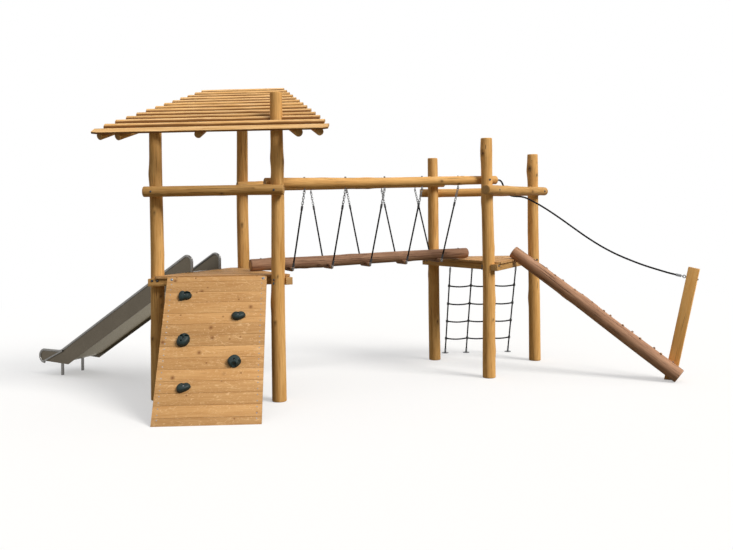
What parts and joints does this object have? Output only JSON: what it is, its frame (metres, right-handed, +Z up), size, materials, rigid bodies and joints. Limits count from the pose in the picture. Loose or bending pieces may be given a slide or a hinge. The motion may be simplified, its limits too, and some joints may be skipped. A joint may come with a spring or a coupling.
{
  "type": "wooden climbing frame",
  "caption": "Log-built climbing frame: a roofed tower and an open tower joined by a swinging log bridge, with climbing wall, steel slide, rope net and log ramp with hand rope.",
  "frame": {"origin": "centre of the foot of the roofed tower's front left post, on the ground", "axes": "+X along the roofed tower's front towards the open tower and the ramp, +Y to the back, +Z up"},
  "size_m": [8.0934, 4.2736, 3.539],
  "materials": {
    "peeled_log": "satin oil",
    "sawn_beam": "sawn and oiled",
    "board": "planed and oiled",
    "roof_slat": "split face, oiled",
    "walking_log": "weathered",
    "stainless": "brushed",
    "galvanised": "galvanised",
    "black_bolt": "black",
    "rope": "laid polyester over steel",
    "black_plastic": "matt",
    "hold": "textured"
  },
  "bodies": {
    "frame": {"post_a_front_left": "peeled_log", "post_a_front_right": "peeled_log", "post_a_back": "peeled_log", "post_b_front": "peeled_log", "post_b_right": "peeled_log", "post_b_left": "peeled_log", "beam_a_front": "sawn_beam", "beam_a_right": "sawn_beam", "beam_a_left": "sawn_beam", "beam_b_right": "sawn_beam", "beam_b_back": "sawn_beam", "beam_b_left": "sawn_beam", "deck_a_boards": "board", "deck_b_boards": "board", "rail_a_front": "peeled_log", "rail_b_front": "peeled_log", "rail_b_back": "peeled_log", "frame_bolts": "black_bolt", "roof_rafters": "peeled_log", "roof_slats": "roof_slat", "bridge_beam_front": "peeled_log", "bridge_beam_back": "peeled_log", "bridge_eyebolts": "galvanised", "wall_boards": "board", "wall_stringers": "sawn_beam", "climbing_holds": "hold", "hold_bolts": "galvanised", "slide_bed": "stainless", "slide_wall_near": "stainless", "slide_wall_far": "stainless", "slide_rims": "stainless", "slide_legs": "stainless", "net_ropes": "rope", "net_clamps": "black_plastic", "net_fittings": "galvanised", "ramp_log": "walking_log", "ramp_pegs": "peeled_log", "rope_post": "peeled_log", "hand_rope": "rope", "hand_rope_fittings": "galvanised"},
    "hanger_1": {"hanger_1_chains": "galvanised", "hanger_1_ropes": "rope", "hanger_1_fittings": "galvanised"},
    "hanger_2": {"hanger_2_chains": "galvanised", "hanger_2_ropes": "rope", "hanger_2_fittings": "galvanised"},
    "hanger_3": {"hanger_3_chains": "galvanised", "hanger_3_ropes": "rope", "hanger_3_fittings": "galvanised"},
    "hanger_4": {"hanger_4_chains": "galvanised", "hanger_4_ropes": "rope", "hanger_4_fittings": "galvanised"},
    "hanger_5": {"hanger_5_chains": "galvanised", "hanger_5_ropes": "rope", "hanger_5_fittings": "galvanised"},
    "bridge_log": {"bridge_log": "walking_log", "log_cross_bars": "walking_log", "log_bar_eyes": "galvanised", "log_bolts": "black_bolt"}
  },
  "joints": [
    {"name": "hanger_1_swing", "type": "hinge", "parent": "frame", "child": "hanger_1", "pos_m": [1.30869, 0.75557, 2.24354], "axis": [-0.5, 0.866, 0], "range_deg": [-10, 10]},
    {"name": "hanger_2_swing", "type": "hinge", "parent": "frame", "child": "hanger_2", "pos_m": [1.73304, 1.00057, 2.25186], "axis": [-0.5, 0.866, 0], "range_deg": [-10, 10]},
    {"name": "hanger_3_swing", "type": "hinge", "parent": "frame", "child": "hanger_3", "pos_m": [2.15739, 1.24557, 2.26018], "axis": [-0.5, 0.866, 0], "range_deg": [-10, 10]},
    {"name": "hanger_4_swing", "type": "hinge", "parent": "frame", "child": "hanger_4", "pos_m": [2.58175, 1.49057, 2.2685], "axis": [-0.5, 0.866, 0], "range_deg": [-10, 10]},
    {"name": "hanger_5_swing", "type": "hinge", "parent": "frame", "child": "hanger_5", "pos_m": [3.0061, 1.73557, 2.27682], "axis": [-0.5, 0.866, 0], "range_deg": [-10, 10]},
    {"name": "log_level", "type": "hinge", "parent": "hanger_3", "child": "bridge_log", "pos_m": [2.15739, 1.24557, 1.39316], "axis": [-0.5, 0.866, 0], "range_deg": [-10, 10]}
  ],
  "couplings": [
    {"joint": "hanger_1_swing", "follows": "hanger_3_swing", "ratio": 1},
    {"joint": "hanger_2_swing", "follows": "hanger_3_swing", "ratio": 1},
    {"joint": "hanger_4_swing", "follows": "hanger_3_swing", "ratio": 1},
    {"joint": "hanger_5_swing", "follows": "hanger_3_swing", "ratio": 1},
    {"joint": "log_level", "follows": "hanger_3_swing", "ratio": -1}
  ]
}
